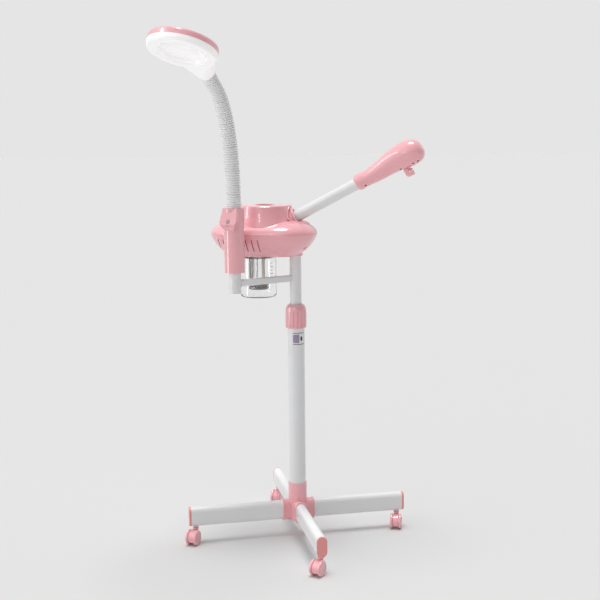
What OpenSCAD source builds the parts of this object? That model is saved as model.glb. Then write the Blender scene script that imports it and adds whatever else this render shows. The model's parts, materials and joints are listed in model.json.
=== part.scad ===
// Facial steamer on a rolling stand, with a ring-lit magnifying lamp on a gooseneck.
// Millimetres, +Z up. The floor is Z = 0 and the steam arm points along +X.
// The origin lies on the floor under the middle of the overall outline.

/* [Base] */
// Distance from the column axis to the open end of each leg tube
leg_reach = 268; // [220:1:300]
// Height of a leg tube's section
leg_height = 48; // [42:1:56]
// Width of a leg tube's section
leg_width = 24; // [22:1:28]
// Height of the legs' underside above the floor
leg_clearance = 43; // [42:1:50]
// Turn of the cross of legs about the column, from the arm's direction
leg_yaw = 22.5; // [0:0.5:45]

/* [Casters] */
// Wheel diameter
wheel_d = 37; // [34:1:38]
// Width of one wheel
wheel_w = 7; // [6.5:0.5:8]
// Width of the hood between the two wheels
hood_w = 13; // [12:0.1:14]
// Horizontal distance from the stem to the wheels' axle
caster_trail = 16; // [13:1:18]

/* [Column] */
// Outer diameter of the lower pole
lower_pole_d = 41; // [40:0.5:44]
// Outer diameter of the upper pole, the lamp post and the steam arm
tube_d = 28; // [26:0.5:30]
// Wall of every round tube
tube_wall = 1.5; // [1:0.25:2]
// Height of the underside of the lock collar
collar_z = 527; // [493:1:533]
// Height of the lock collar itself
collar_h = 58; // [50:1:60]
// Outer diameter of the lock collar
collar_d = 51; // [50:0.5:56]

/* [Steamer head] */
// Height of the head's flat underside
head_z = 704; // [693:1:705]
// Length of the head along the arm's direction
head_length = 260; // [250:1:264]
// Width of the head
head_width = 176; // [170:1:178]
// Distance of the head's middle behind the column axis
head_back = 77; // [72:1:80]
// Diameter of the crown at its top
crown_d = 128; // [120:1:130]
// Height of the crown's top above the underside
head_height = 122; // [118:1:126]
// Wall of the moulded shells
shell_wall = 2.5; // [2:0.25:3]

/* [Boiler jar] */
// Distance of the jar behind the column axis
jar_back = 92; // [90:1:94]
// Outer diameter of the jar
jar_d = 88; // [80:1:88]
// Height of the jar below the head
jar_h = 99; // [90:1:104]

/* [Steam arm] */
// Rise of the arm above level
arm_tilt = 27.9; // [22:0.1:32]
// Distance along the arm from its socket to the nozzle
arm_reach = 176; // [150:1:220]
// Bore of the spout's mouth
spout_bore_d = 12; // [8:0.5:13]

/* [Lamp] */
// Position of the lamp post from the column axis, along X
post_x = -122; // [-128:1:-118]
// Position of the lamp post from the column axis, along Y
post_y = -117; // [-124:1:-112]
// Direction that the lamp leans in
lamp_yaw = -112; // [-120:1:-104]
// Outer diameter of the corrugated gooseneck
neck_d = 36; // [32:1:37]
// Length of one gooseneck link
neck_pitch = 55; // [48:1:60]
// Outer diameter of the lamp ring
lamp_d = 157; // [153:1:162]
// Clear diameter of the lamp's opening
lens_view_d = 103; // [98:1:104]
// Upward tilt of the lamp ring
lamp_tilt = 21.3; // [15:0.1:25]

/* [Hidden] */
$fn = 64;
EPS = 0.01;
RUN = 0.06;             // radial clearance of a running fit
CUT = 1;                // overrun of a cutting tool past a face

PINK = [0.93, 0.60, 0.65];
WHITE = [0.94, 0.94, 0.95];
STEEL = [0.72, 0.73, 0.75];
DARK = [0.25, 0.25, 0.27];
CLEAR = [0.85, 0.90, 0.92, 0.35];

// The column stands here from the middle of the overall outline.
column_x = -20.5;
column_y = 49.2;

// Base
leg_mid_z = leg_clearance + leg_height / 2;
leg_start = 24;                         // inner end of a leg tube, from the column axis
hub_reach = 40;                         // outer end of a hub socket
hub_wall = 2;
hub_floor_z = leg_clearance + 6;
hub_top_z = leg_clearance + 94;
hub_d = 46;
cap_plate = 5;
cap_depth = 26;
stem_inset = 11;                        // stem axis back from the tube's end
stem_radius = leg_reach - stem_inset;
stem_d = 8;
stem_top_z = leg_clearance + 28;
stem_flange_d = 11;
hood_top_z = leg_clearance - 3;
caster_yaws = [-89, -97, -99, -108];    // rest direction of each caster's trail

// Column
lower_bore_d = lower_pole_d - 2 * tube_wall;
tube_bore_d = tube_d - 2 * tube_wall;
lower_pole_top = collar_z + 40;
insert_depth = 34;
insert_flange = 4;
insert_nose = 8;
collar_grooves = 16;
plug_z = 193;
plug_h = 32;
spigot_h = 30;
upper_pole_z = plug_z + plug_h + 0.3;
upper_pole_top = head_z + 29;

// Lamp bracket
bar_h = 16;
bar_t = 12;
bar_round = 3;
bar_z = 649;
post_z = 626;
post_top = 793;
post_floor = 3;
post_distance = norm([post_x, post_y]);
post_azimuth = atan2(post_y, post_x);

// Lamp switch housing
sleeve_d = 48;
sleeve_z = 675;
sleeve_top = 826;
sleeve_bore_top = 795;
bearing_h = 10;
panel_turn = 8;                         // turn of the switch panel from the lean direction
panel_top_x = 20;
panel_low_x = 33.5;
panel_low_z = sleeve_top - 37;
panel_half = 21.5;
panel_foot_z = sleeve_top - 56;
panel_lean = atan2(panel_low_x - panel_top_x, sleeve_top - panel_low_z);
button_d = 9;
button_travel = 1.5;
button_z = sleeve_top - 30;
button_x = panel_top_x + (sleeve_top - button_z) * tan(panel_lean);

// Gooseneck: the lean of each link from vertical, at rest
neck_leans = [2, 5, 9, 16, 28, 46];
neck_count = len(neck_leans);
neck_gap = 0.8;                         // clearance between a link's ball and its cup
neck_z = sleeve_top + 4;
function neck_x(i) = i == 0 ? 0 : neck_x(i - 1) + neck_pitch * sin(neck_leans[i - 1]);
function neck_h(i) = i == 0 ? neck_z : neck_h(i - 1) + neck_pitch * cos(neck_leans[i - 1]);

// Lamp
lamp_x = neck_x(neck_count) + 79.1;
lamp_z = neck_h(neck_count) + 43.8;
lens_d = 108;
lens_half = 7;
lens_edge = 2;
lens_z = -1;
lens_face_r = (lens_d * lens_d / 4 + pow(lens_half - lens_edge, 2)) / (2 * (lens_half - lens_edge));
lens_rim_drop = (lens_d * lens_d - lens_view_d * lens_view_d) / (8 * lens_face_r) + 0.1;
ring_below = 14;
ring_above = 15;
diffuser_z = 2 - ring_below;            // seat of the diffuser in the housing's underside
boss_r = 21;
led_count = 24;
led_ring_r = 65;

// Steamer head
seam_z = head_z + 55;
crown_z = head_z + head_height;
crown_x = -75;
curve_steps = 9;
seam_bevel = 0.7;
top_rise = 30;                          // the shoulder around the crown, above the seam
head_end_r = head_width / 2;
head_half_straight = (head_length - head_width) / 2;
floor_r = 45;
well_d = 43;
well_depth = 24;
cap_hole_r = 40;
pole_hole_r = 18;
vent_count = 8;
vent_pitch = 14.4;
vent_first_x = -174.5;
vent_w = 1.8;
vent_h = 30;
vent_slant = 4;
screw_spots = [[28, 24], [28, -24], [-182, 24], [-182, -24]];
screw_seat_z = seam_z - 21;
screw_r = 1.6;
screw_boss_r = 6;
rocker_pin_r = 1.5;
rocker_pin_reach = 7.5;
inlet_x = -52;
inlet_size = [31, 28, 22];
inlet_stand_out = 14;                   // how far the inlet stands out behind the head
rocker_x = -102;
rocker_size = [12, 8, 18];
bezel_size = [19, 20, 25];
rear_y = head_end_r;
rear_mid_z = seam_z - 13;

// Jar
jar_wall = 2.5;
jar_base = 3;
jar_round = 10;
jar_neck_r = 36;
jar_neck_h = 22.5;
jar_bottom_z = head_z - 2 - jar_h;
cap_top_z = head_z + 26;
cap_under_z = head_z + 22;

// Arm, along its own axis from the middle of the socket's mouth
arm_x = -5.7;
arm_z = head_z + 89.5;
arm_tail = -24;
arm_end = arm_reach + 13;
socket_r = 20;
socket_tail = -22;
socket_lip = 6;
socket_flange_r = 26.5;
socket_mouth_r = 18.3;
nozzle_split = -6;
nozzle_wall = 2.3;
nozzle_hollow = 26;                     // where the hollow starts, past the nozzle's neck
duct_r = 8;
spout_at = arm_reach + 121;
spout_drop = 36;
spout_r = 8.5;
spout_reach = 12;
nozzle_balls = [[69, 6.5, 23], [122, 8.5, 26.3], [148, 5, 28.5]]; // past the neck, height, radius

// ---- frames ----

module on_column() {
    translate([column_x, column_y, 0]) children();
}

// Leg i: X runs outward along the leg.
module on_leg(i) {
    on_column() rotate([0, 0, leg_yaw + 90 * (i - 1)]) children();
}

// Caster i: Z is the swivel axis and X runs along the trail.
module on_caster(i) {
    angle = leg_yaw + 90 * (i - 1);
    on_column() translate([stem_radius * cos(angle), stem_radius * sin(angle), 0])
        rotate([0, 0, caster_yaws[i - 1]]) children();
}

// Arm: X runs out along the arm's axis, from the middle of the socket's mouth.
module on_arm() {
    on_column() translate([arm_x, 0, arm_z]) rotate([0, -arm_tilt, 0]) children();
}

// Lamp post: Z is the post's axis and X runs in the direction that the lamp leans.
module on_post() {
    on_column() translate([post_x, post_y, 0]) rotate([0, 0, lamp_yaw]) children();
}

// Gooseneck link i, counted from 0: Z runs along the link from its lower pivot.
module on_neck(i) {
    on_post() translate([neck_x(i), 0, neck_h(i)]) rotate([0, neck_leans[i], 0]) children();
}

// Lamp ring: Z is the lens's axis, X points away from the gooseneck.
module on_lamp() {
    on_post() translate([lamp_x, 0, lamp_z]) rotate([0, -lamp_tilt, 0]) children();
}

// ---- shared shapes ----

// A tall section with half-round top and bottom, centred on the origin.
module obround(w, h) {
    square([w, h - w], center = true);
    for (side = [-1, 1]) translate([0, side * (h - w) / 2]) circle(d = w);
}

// An obround section extruded along +X, from one distance to another.
module obround_bar(w, h, from, to) {
    translate([from, 0, 0]) rotate([90, 0, 90]) linear_extrude(to - from) obround(w, h);
}

// A half profile that starts at the axis, with a rounded lower outer corner.
module round_foot_profile(r, h, fillet) {
    translate([0, fillet]) square([r, h - fillet]);
    square([r - fillet, h]);
    translate([r - fillet, fillet]) circle(fillet);
}

// A half profile with both outer corners rounded.
module round_both_profile(r, h, fillet) {
    translate([0, fillet]) square([r, h - 2 * fillet]);
    square([r - fillet, h]);
    for (z = [fillet, h - fillet]) translate([r - fillet, z]) circle(fillet);
}

module tube(d, bore, from, to) {
    translate([0, 0, from]) difference() {
        cylinder(d = d, h = to - from);
        translate([0, 0, -CUT]) cylinder(d = bore, h = to - from + 2 * CUT);
    }
}

// A cylinder along +X, from one distance to another.
module rod_x(r, from, to) {
    translate([from, 0, 0]) rotate([0, 90, 0]) cylinder(r = r, h = to - from);
}

// A head-shaped solid: the profile turned at both ends and drawn straight between them.
module head_solid(profile) {
    translate([-head_back, 0, 0]) {
        for (side = [-1, 1]) translate([side * head_half_straight, 0, 0])
            rotate_extrude() polygon(profile);
        translate([-head_half_straight, 0, 0]) rotate([90, 0, 90])
            linear_extrude(2 * head_half_straight) {
                polygon(profile);
                mirror([1, 0]) polygon(profile);
            }
    }
}

// ---- base ----

module hub() {
    color(PINK) difference() {
        union() {
            on_column() translate([0, 0, leg_clearance - hub_wall])
                cylinder(d = hub_d, h = hub_top_z - leg_clearance + hub_wall);
            for (i = [1:4]) on_leg(i) translate([0, 0, leg_mid_z])
                obround_bar(leg_width + 2 * hub_wall, leg_height + 2 * hub_wall, 0, hub_reach);
        }
        on_column() translate([0, 0, hub_floor_z])
            cylinder(d = lower_pole_d, h = hub_top_z);
        for (i = [1:4]) on_leg(i) translate([0, 0, leg_mid_z])
            obround_bar(leg_width, leg_height, leg_start, hub_reach + CUT);
    }
}

module leg(i) {
    color(WHITE) on_leg(i) difference() {
        translate([0, 0, leg_mid_z])
            obround_bar(leg_width, leg_height, leg_start, leg_reach);
        translate([0, 0, leg_mid_z])
            obround_bar(leg_width - 2 * tube_wall, leg_height - 2 * tube_wall,
                leg_start - CUT, leg_reach + CUT);
        translate([stem_radius, 0, leg_clearance - CUT]) cylinder(d = stem_d, h = 10);
    }
}

module leg_caps() {
    color(PINK) for (i = [1:4]) on_leg(i) difference() {
        translate([0, 0, leg_mid_z]) {
            obround_bar(leg_width, leg_height, leg_reach, leg_reach + cap_plate);
            obround_bar(leg_width - 2 * tube_wall, leg_height - 2 * tube_wall,
                leg_reach - cap_depth, leg_reach + EPS);
        }
        translate([stem_radius, 0, leg_clearance - CUT])
            cylinder(d = stem_d, h = stem_top_z - leg_clearance + CUT);
    }
}

module caster_stems() {
    stem_low_z = hood_top_z - 12;
    color(DARK) for (i = [1:4]) on_caster(i) {
        translate([0, 0, stem_low_z]) cylinder(d = stem_d, h = stem_top_z - stem_low_z);
        translate([0, 0, hood_top_z + 0.4])
            cylinder(d = stem_flange_d, h = leg_clearance - hood_top_z - 0.4);
    }
}

module caster_hood(i) {
    body_r = wheel_d / 2 - 2.5;
    boss_r = hood_w / 2 - 0.2;
    skirt_z = 8;        // underside of the hood's skirt
    axle_r = 3;
    axle_half = hood_w / 2 + wheel_w - 2;
    color(PINK) on_caster(i) difference() {
        union() {
            difference() {
                translate([caster_trail, hood_w / 2, wheel_d / 2]) rotate([90, 0, 0])
                    cylinder(r = body_r, h = hood_w);
                translate([-wheel_d, -wheel_d, skirt_z - wheel_d])
                    cube([3 * wheel_d, 2 * wheel_d, wheel_d]);
            }
            translate([caster_trail, hood_w / 2 - 1.5, wheel_d / 2]) rotate([90, 0, 0])
                cylinder(r = body_r - 2, h = hood_w - 3);
            translate([0, 0, wheel_d / 2]) cylinder(r = boss_r, h = hood_top_z - wheel_d / 2);
            translate([0, 0, hood_top_z - 3.4]) cylinder(r = boss_r + 1.1, h = 3.4);
            translate([0, -boss_r, wheel_d / 2])
                cube([caster_trail, 2 * boss_r, body_r]);
            translate([caster_trail, axle_half, wheel_d / 2]) rotate([90, 0, 0])
                cylinder(r = axle_r, h = 2 * axle_half);
        }
        translate([0, 0, hood_top_z - 13]) cylinder(r = stem_d / 2 + RUN, h = 13 + CUT);
    }
}

// side is -1 for the left wheel and 1 for the right one
module wheel(i, side) {
    inner = hood_w / 2 + 0.5;
    bore_depth = wheel_w - 2;
    color(PINK) on_caster(i) translate([caster_trail, side * inner, wheel_d / 2])
        rotate([-90 * side, 0, 0]) difference() {
            rotate_extrude() round_both_profile(wheel_d / 2, wheel_w, 3);
            translate([0, 0, -CUT]) cylinder(r = 3 + RUN, h = bore_depth + CUT);
            translate([0, 0, wheel_w - 0.6]) cylinder(r = wheel_d / 2 - 6, h = 2);
        }
}

// ---- column ----

module lower_pole() {
    color(WHITE) on_column() tube(lower_pole_d, lower_bore_d, hub_floor_z, lower_pole_top);
}

module lock_insert() {
    nose_z = lower_pole_top + insert_flange;
    nose_d = lower_bore_d - 3;
    color(STEEL) on_column() difference() {
        union() {
            translate([0, 0, lower_pole_top - insert_depth])
                cylinder(d = lower_bore_d, h = insert_depth + EPS);
            translate([0, 0, lower_pole_top]) cylinder(d = lower_pole_d, h = insert_flange);
            translate([0, 0, nose_z - EPS]) cylinder(d = nose_d, h = insert_nose);
        }
        translate([0, 0, lower_pole_top - insert_depth - CUT])
            cylinder(r = tube_d / 2 + RUN, h = insert_depth + insert_flange + insert_nose + 2 * CUT);
        for (turn = [0:120:240]) rotate([0, 0, turn])
            translate([0, -0.75, nose_z + 1]) cube([nose_d, 1.5, insert_nose]);
    }
}

module lock_collar() {
    outer = collar_d / 2;
    groove_r = 2;
    groove_low = 3;
    dome_h = 19;
    sleeve_depth = 45;      // depth of the bore that runs on the lower pole
    nose_depth = 9;         // depth of the narrower bore around the insert's nose
    profile = concat([[0, 0]], arch([outer - 3, 0], [outer, 0], [outer, 3], 4),
        arch([outer, collar_h - dome_h], [outer, collar_h - 4], [outer - 8, collar_h], 8),
        [[0, collar_h]]);
    color(PINK) on_column() translate([0, 0, collar_z]) difference() {
        rotate_extrude() polygon(profile);
        translate([0, 0, -CUT]) cylinder(r = lower_pole_d / 2 + RUN, h = sleeve_depth + CUT);
        translate([0, 0, sleeve_depth - CUT])
            cylinder(d = lower_bore_d - 2, h = nose_depth + CUT);
        cylinder(r = tube_d / 2 + 2, h = collar_h + CUT);
        for (k = [1:collar_grooves]) rotate([0, 0, k * 360 / collar_grooves])
            translate([outer + 0.4, 0, groove_low])
                cylinder(r = groove_r, h = collar_h - dome_h + 2 - groove_low);
    }
}

module glide_plug() {
    color(DARK) on_column() translate([0, 0, plug_z]) {
        cylinder(r = lower_bore_d / 2 - RUN, h = plug_h);
        cylinder(r = tube_bore_d / 2 - RUN, h = plug_h + spigot_h);
    }
}

module upper_pole() {
    color(WHITE) on_column() tube(tube_d, tube_bore_d, upper_pole_z, upper_pole_top);
}

// A flat bar welded to the upper pole, with the lamp post welded to its far end.
module lamp_bracket() {
    color(WHITE) on_column() difference() {
        union() {
            translate([0, 0, bar_z]) rotate([0, 0, post_azimuth]) rotate([90, 0, 90])
                linear_extrude(post_distance) {
                    square([bar_t, bar_h - 2 * bar_round], center = true);
                    square([bar_t - 2 * bar_round, bar_h], center = true);
                    for (sx = [-1, 1], sy = [-1, 1])
                        translate([sx * (bar_t / 2 - bar_round), sy * (bar_h / 2 - bar_round)])
                            circle(bar_round);
                }
            translate([post_x, post_y, post_z]) cylinder(d = tube_d, h = post_top - post_z);
        }
        cylinder(d = tube_d, h = upper_pole_top);
        translate([post_x, post_y, post_z + post_floor])
            cylinder(d = tube_bore_d, h = post_top - post_z);
    }
}

// ---- steamer head ----

// Points along a curve from a to c that is pulled towards b.
function arch(a, b, c, n) = [for (k = [0:n]) let (t = k / n)
    (1 - t) * (1 - t) * a + 2 * t * (1 - t) * b + t * t * c];

lower_outer = concat([[0, head_z]],
    arch([floor_r, head_z], [head_end_r - 4.5, head_z + 28.5], [head_end_r, seam_z - seam_bevel],
        curve_steps),
    [[head_end_r - seam_bevel, seam_z], [0, seam_z]]);
lower_inner = concat([[0, head_z + shell_wall]],
    arch([floor_r - shell_wall, head_z + shell_wall], [head_end_r - 7.5, head_z + 30],
        [head_end_r - shell_wall, seam_z + CUT], curve_steps),
    [[0, seam_z + CUT]]);
upper_outer = concat([[0, seam_z], [head_end_r - seam_bevel, seam_z]],
    arch([head_end_r, seam_z + seam_bevel], [head_end_r - 3, seam_z + 19],
        [head_end_r - 42, seam_z + top_rise], curve_steps),
    [[0, seam_z + top_rise]]);
upper_inner = concat([[0, seam_z - CUT]],
    arch([head_end_r - shell_wall, seam_z - CUT], [head_end_r - 5.5, seam_z + 16.5],
        [head_end_r - 42 - shell_wall, seam_z + top_rise - shell_wall], curve_steps),
    [[0, seam_z + top_rise - shell_wall]]);

module rear_block(size, x, front_y) {
    translate([x - size[0] / 2, front_y - size[1], rear_mid_z - size[2] / 2]) cube(size);
}

module lower_shell() {
    color(PINK) on_column() difference() {
        union() {
            difference() {
                head_solid(lower_outer);
                head_solid(lower_inner);
            }
            for (p = screw_spots) translate([p[0], p[1], screw_seat_z - 5])
                cylinder(r = screw_boss_r, h = seam_z - screw_seat_z + 5);
            rear_block(bezel_size, rocker_x, rear_y);
        }
        translate([-jar_back, 0, head_z - CUT]) cylinder(r = cap_hole_r, h = 10);
        translate([0, 0, head_z - CUT]) cylinder(r = pole_hole_r, h = 20);
        for (p = screw_spots) translate([p[0], p[1], 0]) {
            translate([0, 0, screw_seat_z - 30]) cylinder(r = 4.2, h = 30);
            cylinder(r = screw_r, h = seam_z + CUT);
        }
        rear_block(inlet_size, inlet_x, rear_y + inlet_stand_out);
        translate([rocker_x - rocker_pin_reach - 0.3, rear_y - 4, rear_mid_z]) rotate([0, 90, 0])
            cylinder(r = rocker_pin_r + RUN, h = 2 * rocker_pin_reach + 0.6);
        rear_block([rocker_size[0] + 1.6, rocker_size[1] + 4, rocker_size[2] + 1.6],
            rocker_x, rear_y + 1);
        for (k = [0:vent_count - 1], side = [-1, 1])
            translate([vent_first_x + k * vent_pitch, side * 65, seam_z - 26])
                rotate([0, -vent_slant, 0])
                    cube([vent_w, 60, vent_h], center = true);
    }
}

module upper_shell() {
    crown_r = crown_d / 2;
    top_z = crown_z - seam_z;
    color(PINK) on_column() difference() {
        union() {
            difference() {
                union() {
                    head_solid(upper_outer);
                    translate([crown_x, 0, seam_z]) rotate_extrude()
                        polygon([[0, 0], [crown_r + 11.5, 0], [crown_r + 11.5, 19],
                            [crown_r + 8, 28], [crown_r + 4.6, 38], [crown_r + 2, 50],
                            [crown_r, top_z - 2], [crown_r - 2, top_z], [0, top_z]]);
                    on_arm_here() rod_x(socket_r + 5, -14, socket_lip);
                }
                head_solid(upper_inner);
                translate([crown_x, 0, seam_z - CUT])
                    cylinder(r = crown_r - shell_wall, h = top_z - shell_wall + CUT);
            }
            for (p = screw_spots) translate([p[0], p[1], seam_z])
                cylinder(r = screw_boss_r, h = 18);
        }
        on_arm_here() {
            rod_x(socket_r, -60, socket_lip + CUT);
            rod_x(socket_flange_r + 0.2, socket_lip, socket_lip + 24);
        }
        translate([crown_x, 0, crown_z - 10]) cylinder(d = well_d, h = 20);
        for (p = screw_spots) translate([p[0], p[1], seam_z - CUT])
            cylinder(r = screw_r, h = 8);
    }
}

// The arm's frame, inside the column's frame.
module on_arm_here() {
    translate([arm_x, 0, arm_z]) rotate([0, -arm_tilt, 0]) children();
}

module pole_socket() {
    color(PINK) on_column() difference() {
        translate([0, 0, head_z]) cylinder(r = pole_hole_r, h = 32);
        translate([0, 0, head_z - CUT]) cylinder(d = tube_d, h = upper_pole_top - head_z + CUT);
    }
}

module well_cup() {
    color(PINK) on_column() translate([crown_x, 0, crown_z]) difference() {
        union() {
            translate([0, 0, -well_depth]) cylinder(d = well_d, h = well_depth);
            cylinder(d = well_d + 5, h = 1);
        }
        translate([0, 0, 1.5 - well_depth]) cylinder(d = well_d - 3, h = well_depth + CUT);
    }
}

module arm_socket() {
    color(PINK) on_arm() difference() {
        union() {
            rod_x(socket_r, socket_tail, socket_lip + EPS);
            translate([socket_lip, 0, 0]) rotate([0, 90, 0])
                rotate_extrude() round_both_profile(socket_flange_r, 5, 2.4);
        }
        rod_x(tube_d / 2 + RUN, socket_tail - CUT, socket_lip + 6);
        rod_x(socket_mouth_r, -4, socket_lip + 6);
    }
}

// ---- boiler ----

module boiler_cap() {
    color(WHITE) on_column() translate([-jar_back, 0, 0]) difference() {
        union() {
            translate([0, 0, head_z]) cylinder(r = cap_hole_r, h = cap_top_z - head_z);
            translate([0, 0, head_z + shell_wall]) cylinder(r = cap_hole_r + 2, h = 3);
        }
        translate([0, 0, head_z - CUT])
            cylinder(r = jar_neck_r + 0.3, h = cap_under_z - head_z + CUT);
    }
}

module jar_gasket() {
    color(CLEAR) on_column() translate([-jar_back, 0, 0])
        tube(2 * jar_neck_r, 2 * (jar_neck_r - jar_wall), cap_under_z - 1.5, cap_under_z);
}

module glass_jar() {
    outer_r = jar_d / 2;
    bore_r = jar_neck_r - jar_wall;
    neck_top = jar_h + jar_neck_h - 0.1;
    color(CLEAR) on_column() translate([-jar_back, 0, jar_bottom_z]) difference() {
        rotate_extrude() {
            round_both_profile(outer_r, jar_h, 6);
            round_foot_profile(outer_r, jar_h - 6, jar_round);
            square([jar_neck_r, neck_top]);
        }
        translate([0, 0, jar_base]) rotate_extrude() {
            round_both_profile(outer_r - jar_wall, jar_h - jar_base - jar_wall, 4);
            square([bore_r, neck_top]);
        }
    }
}

coil_z = jar_bottom_z + 21;
coil_r = 21.5;
coil_tube_r = 3.3;
coil_pitch = 7.4;

module heater_coil() {
    color(STEEL) on_column() translate([-jar_back, 0, 0]) {
        for (k = [0:1]) translate([0, 0, coil_z + k * coil_pitch])
            rotate_extrude() translate([coil_r, 0]) circle(coil_tube_r);
        for (turn = [150, 210]) rotate([0, 0, turn]) translate([coil_r, 0, coil_z])
            cylinder(r = coil_tube_r - 1, h = cap_under_z - coil_z);
    }
}

module electrode_rods() {
    rod_r = 2;
    bush_r = 5;
    color(STEEL) on_column() translate([-jar_back, 0, 0])
        for (p = [[-10, -10, 74], [-5, 4, 80], [0, -14, 68]]) {
            translate([p[0], p[1], cap_under_z - p[2]]) cylinder(r = rod_r, h = p[2]);
            translate([p[0], p[1], cap_under_z - 10]) cylinder(r = bush_r - 1.5, h = 10);
        }
}

module level_sensor() {
    color([0.90, 0.85, 0.78]) on_column() translate([-jar_back + 13, -4, cap_under_z - 92])
        cylinder(r = 4, h = 92);
}

module steam_hose() {
    bend = -63.7;       // where the hose turns onto the arm's axis
    rise = arm_z + bend * sin(arm_tilt) - cap_top_z;
    color(CLEAR) on_column() {
        translate([arm_x + bend * cos(arm_tilt), 0, cap_top_z]) cylinder(r = 7, h = rise + 6);
        on_arm_here() rod_x(6, bend, arm_tail - 1);
    }
}

// ---- electrics ----

module control_board() {
    board = [38, 70, 1.6];
    board_z = head_z + 30;
    parts = [[8, 10, 16, 12], [28, 14, 12, 18], [10, 44, 20, 15], [30, 50, 10, 9]];
    color([0.20, 0.42, 0.28]) on_column() translate([-174, -35, 0]) {
        translate([0, 0, board_z]) cube(board);
        for (p = parts) translate([p[0] - 4, p[1] - 4, board_z + board[2] - EPS])
            cube([8, p[2] / 2 + 4, p[3]]);
        for (y = [13, 57]) translate([34, y, head_z + shell_wall])
            cylinder(r = 3, h = board_z - head_z - shell_wall + EPS);
    }
}

module mains_inlet() {
    mouth_y = rear_y + inlet_stand_out;
    color(DARK) on_column() difference() {
        rear_block(inlet_size, inlet_x, mouth_y);
        rear_block([inlet_size[0] - 5, 16, inlet_size[2] - 5], inlet_x, mouth_y + CUT);
    }
    color(STEEL) on_column() for (x = [-7, 0, 7])
        translate([inlet_x + x - 1, mouth_y - 17, rear_mid_z - 2]) cube([2, 13, 4]);
}

module steam_switch() {
    face_r = 14;
    color(DARK) on_column() intersection() {
        rear_block([rocker_size[0], rocker_size[1] + 4, rocker_size[2]], rocker_x, rear_y + 4);
        translate([rocker_x - rocker_size[0] / 2, rear_y + 2 - face_r, rear_mid_z])
            rotate([0, 90, 0]) cylinder(r = face_r, h = rocker_size[0]);
    }
    color(DARK) on_column() translate([rocker_x - rocker_pin_reach, rear_y - 4, rear_mid_z])
        rotate([0, 90, 0]) cylinder(r = rocker_pin_r, h = 2 * rocker_pin_reach);
}

module shell_screws() {
    color(STEEL) on_column() for (p = screw_spots) translate([p[0], p[1], 0]) {
        translate([0, 0, screw_seat_z - 2.4]) cylinder(r = 3, h = 2.4);
        translate([0, 0, screw_seat_z - EPS]) cylinder(r = screw_r, h = seam_z + 6 - screw_seat_z);
    }
}

// ---- arm and nozzle ----

module arm_tube() {
    color(WHITE) on_arm() difference() {
        union() {
            rod_x(tube_d / 2, arm_tail, arm_end);
            rod_x(tube_d / 2 + 3, arm_tail, arm_tail + 1.6);
        }
        rod_x(tube_bore_d / 2, arm_tail - CUT, arm_end + CUT);
    }
}

// The nozzle's club-shaped outside, or with inset > 0 the hollow inside it.
module nozzle_form(inset) {
    start = arm_reach + (inset > 0 ? nozzle_hollow : 8);
    hull() {
        if (inset == 0) translate([arm_reach, 0, 0]) rotate([0, 90, 0])
            cylinder(r1 = 15.2, r2 = 17.5, h = 8, $fn = 32);
        translate([start, 0, 0]) rotate([0, 90, 0])
            cylinder(r = 17.5 - inset, h = 20 - inset, $fn = 32);
        for (b = nozzle_balls) translate([arm_reach + b[0], 0, b[1]])
            sphere(b[2] - inset, $fn = 32);
    }
}

// Everything above the split (keep = 1) or below it (keep = -1).
module split_space(keep) {
    size = 300;
    low = keep > 0 ? nozzle_split : nozzle_split - size;
    translate([arm_reach - 50, -size / 2, low]) cube(size);
}

screw_holes = [for (p = [[18, 12.5], [110, 14], [141, 17.5], [153, 16]], side = [-1, 1])
    [arm_reach + p[0], side * p[1]]];
screw_hole_r = 2.2;

module nozzle_housing() {
    color(PINK) on_arm() intersection() {
        split_space(1);
        difference() {
            nozzle_form(0);
            nozzle_form(nozzle_wall);
            rod_x(tube_d / 2, arm_reach - CUT, arm_end);
            rod_x(duct_r + 0.1, arm_end - CUT, arm_reach + nozzle_hollow + 4);
        }
    }
}

module nozzle_cover() {
    color(PINK) on_arm() intersection() {
        split_space(-1);
        difference() {
            nozzle_form(0);
            nozzle_form(nozzle_wall);
            rod_x(tube_d / 2, arm_reach - CUT, arm_end);
            rod_x(duct_r + 0.1, arm_end - CUT, arm_reach + nozzle_hollow + 4);
            translate([spout_at, 0, -40]) cylinder(r = 7 + RUN, h = 40);
            for (p = screw_holes) translate([p[0], p[1], -40])
                cylinder(r = screw_hole_r, h = 40 + nozzle_split + CUT);
        }
    }
}

module nozzle_screws() {
    color(STEEL) on_arm() for (p = screw_holes)
        translate([p[0], p[1], nozzle_split - 3.5]) cylinder(r = screw_hole_r, h = 3.5);
}

module steam_duct() {
    color(CLEAR) on_arm() {
        rod_x(tube_bore_d / 2, arm_end - 8, arm_end);
        rod_x(duct_r, arm_end - EPS, spout_at);
        translate([spout_at, 0, 0]) sphere(duct_r);
        translate([spout_at, 0, -11.7]) cylinder(r = 6, h = 11.7);
    }
}

module steam_spout() {
    bore_r = spout_bore_d / 2;
    color(PINK) on_arm() translate([spout_at, 0, 0]) difference() {
        union() {
            translate([0, 0, -24.5]) cylinder(r = 7, h = 12.3);
            translate([0, 0, -spout_drop]) cylinder(r = spout_r, h = spout_drop - 24);
            translate([0, 0, -spout_drop]) sphere(spout_r);
            translate([0, 0, -spout_drop]) rod_x(spout_r, 0, spout_reach);
        }
        translate([0, 0, -spout_drop]) cylinder(r = 5, h = spout_drop);
        translate([0, 0, -spout_drop]) rod_x(bore_r, 0, spout_reach + CUT);
    }
}

// ---- lamp ----

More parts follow.
